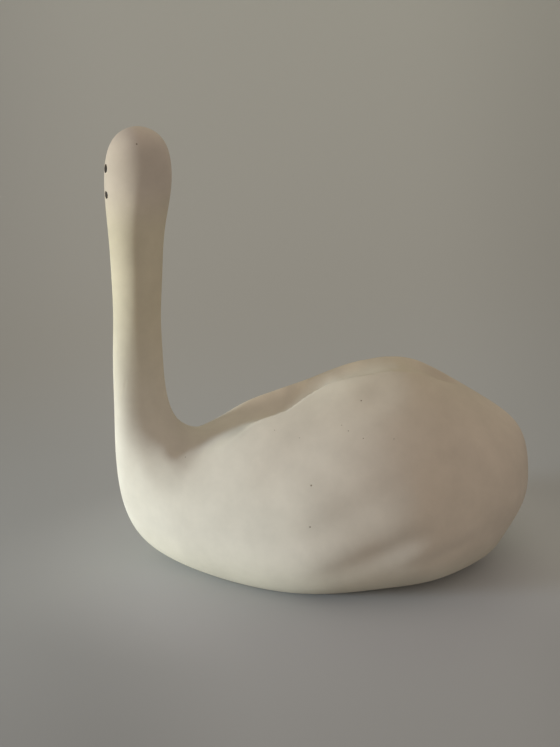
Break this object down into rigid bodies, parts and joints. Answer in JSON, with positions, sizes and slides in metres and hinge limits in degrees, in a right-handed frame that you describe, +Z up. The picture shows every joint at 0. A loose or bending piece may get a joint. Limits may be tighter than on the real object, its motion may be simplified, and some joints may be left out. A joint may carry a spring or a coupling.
{
  "type": "ceramic swan sculpture",
  "caption": "Small abstract swan in matte unglazed clay: upright straight neck, rounded head without a bill, folded wings with a valley between, flat foot.",
  "frame": {"origin": "on the floor, under the middle of the sculpture's length", "axes": "+Z up, the swan looks along -X, and its left side is at -Y"},
  "size_m": [0.1936, 0.1128, 0.2007],
  "materials": {
    "clay": "matte unglazed bisque",
    "eye_slip": "matte dark slip inlay"
  },
  "bodies": {
    "root": {"head": "clay", "neck": "clay", "breast": "clay", "trunk": "clay", "wing_left": "clay", "wing_right": "clay", "tail": "clay", "eye_upper": "eye_slip", "eye_lower": "eye_slip"}
  },
  "joints": []
}
